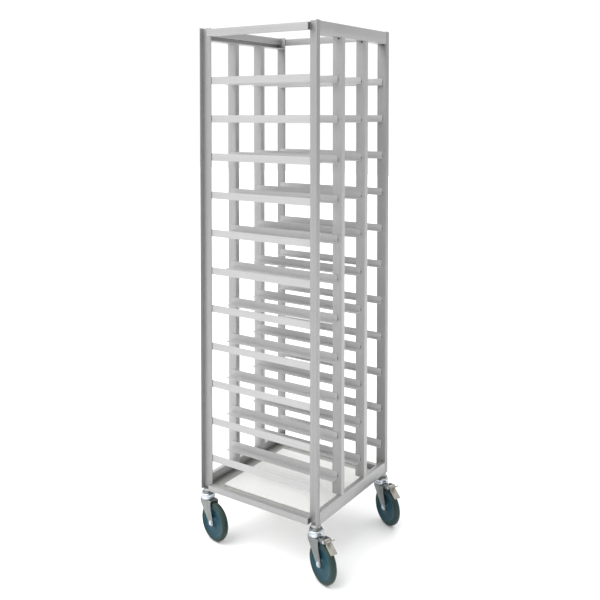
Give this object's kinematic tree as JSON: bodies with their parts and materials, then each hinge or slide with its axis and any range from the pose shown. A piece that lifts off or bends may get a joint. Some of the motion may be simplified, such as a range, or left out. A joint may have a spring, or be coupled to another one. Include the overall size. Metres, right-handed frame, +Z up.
{
  "type": "sheet pan rack",
  "caption": "Tall open rolling rack with welded cross runners that hold bakery sheet pans, a flat floor pan and swivel casters, some with pedal brakes.",
  "frame": {"origin": "on the floor, under the centre of the rectangular frame", "axes": "+X to the right as seen from the front, +Y to the rear, +Z up"},
  "size_m": [0.5598, 0.5026, 1.715],
  "materials": {
    "frame": "mill aluminium extrusion with fine lengthwise drawing lines, satin",
    "cross_rails": "mill aluminium, satin",
    "runners": "bright mill aluminium angle, satin",
    "pan": "flat rolled aluminium sheet, pale and dull",
    "plugs": "dark moulded plugs in the open rail ends",
    "zinc": "zinc plated steel pressing, slightly cloudy",
    "bright_zinc": "bright zinc plate, smooth",
    "wheel_core": "smooth moulded core, dark teal blue",
    "tyre": "moulded polyurethane tread, dark olive grey, satin",
    "pedal": "plated steel pedal with a warm cast"
  },
  "bodies": {
    "root": {"top_rail_left": "frame", "top_rail_right": "frame", "top_rail_front": "cross_rails", "top_rail_rear": "cross_rails", "bottom_rail_left": "frame", "bottom_rail_right": "frame", "bottom_rail_front": "cross_rails", "bottom_rail_rear": "cross_rails", "upright_left_1": "frame", "upright_left_2": "frame", "upright_left_3": "frame", "upright_left_4": "frame", "upright_right_1": "frame", "upright_right_2": "frame", "upright_right_3": "frame", "upright_right_4": "frame", "bottom_pan": "pan", "rail_end_caps": "plugs", "runner_tier_01": "runners", "runner_tier_02": "runners", "runner_tier_03": "runners", "runner_tier_04": "runners", "runner_tier_05": "runners", "runner_tier_06": "runners", "runner_tier_07": "runners", "runner_tier_08": "runners", "runner_tier_09": "runners", "runner_tier_10": "runners", "runner_tier_11": "runners", "caster_collars": "frame", "caster_king_pins": "zinc", "caster_pin_nuts": "bright_zinc", "caster_top_races": "zinc"},
    "fork_body_front_left": {"fork_front_left": "zinc", "swivel_cup_front_left": "bright_zinc", "axle_front_left": "bright_zinc"},
    "wheel_front_left": {"wheel_core_front_left": "wheel_core", "tyre_front_left": "tyre"},
    "fork_body_front_right": {"fork_front_right": "zinc", "swivel_cup_front_right": "bright_zinc", "axle_front_right": "bright_zinc", "brake_pin_front_right": "bright_zinc"},
    "wheel_front_right": {"wheel_core_front_right": "wheel_core", "tyre_front_right": "tyre"},
    "pedal_front_right": {"brake_pedal_front_right": "pedal"},
    "fork_body_rear_left": {"fork_rear_left": "zinc", "swivel_cup_rear_left": "bright_zinc", "axle_rear_left": "bright_zinc"},
    "wheel_rear_left": {"wheel_core_rear_left": "wheel_core", "tyre_rear_left": "tyre"},
    "fork_body_rear_right": {"fork_rear_right": "zinc", "swivel_cup_rear_right": "bright_zinc", "axle_rear_right": "bright_zinc", "brake_pin_rear_right": "bright_zinc"},
    "wheel_rear_right": {"wheel_core_rear_right": "wheel_core", "tyre_rear_right": "tyre"},
    "pedal_rear_right": {"brake_pedal_rear_right": "pedal"}
  },
  "joints": [
    {"name": "swivel_front_left", "type": "hinge", "parent": "root", "child": "fork_body_front_left", "pos_m": [-0.2175, -0.2125, 0.156], "axis": [0, 0, 1], "continuous": true},
    {"name": "wheel_spin_front_left", "type": "hinge", "parent": "fork_body_front_left", "child": "wheel_front_left", "pos_m": [-0.18047, -0.22105, 0.0635], "axis": [0.225, 0.9744, 0], "continuous": true},
    {"name": "swivel_front_right", "type": "hinge", "parent": "root", "child": "fork_body_front_right", "pos_m": [0.2175, -0.2125, 0.156], "axis": [0, 0, 1], "continuous": true},
    {"name": "wheel_spin_front_right", "type": "hinge", "parent": "fork_body_front_right", "child": "wheel_front_right", "pos_m": [0.25248, -0.22735, 0.0635], "axis": [0.3907, 0.9205, 0], "continuous": true},
    {"name": "brake_front_right", "type": "hinge", "parent": "fork_body_front_right", "child": "pedal_front_right", "pos_m": [0.27089, -0.23516, 0.139], "axis": [0.3907, 0.9205, 0], "range_deg": [0, 15]},
    {"name": "swivel_rear_left", "type": "hinge", "parent": "root", "child": "fork_body_rear_left", "pos_m": [-0.2175, 0.2125, 0.156], "axis": [0, 0, 1], "continuous": true},
    {"name": "wheel_spin_rear_left", "type": "hinge", "parent": "fork_body_rear_left", "child": "wheel_rear_left", "pos_m": [-0.18179, 0.1995, 0.0635], "axis": [0.342, 0.9397, 0], "continuous": true},
    {"name": "swivel_rear_right", "type": "hinge", "parent": "root", "child": "fork_body_rear_right", "pos_m": [0.2175, 0.2125, 0.156], "axis": [0, 0, 1], "continuous": true},
    {"name": "wheel_spin_rear_right", "type": "hinge", "parent": "fork_body_rear_right", "child": "wheel_rear_right", "pos_m": [0.25136, 0.19525, 0.0635], "axis": [0.454, 0.891, 0], "continuous": true},
    {"name": "brake_rear_right", "type": "hinge", "parent": "fork_body_rear_right", "child": "pedal_rear_right", "pos_m": [0.26918, 0.18617, 0.139], "axis": [0.454, 0.891, 0], "range_deg": [0, 15]}
  ]
}
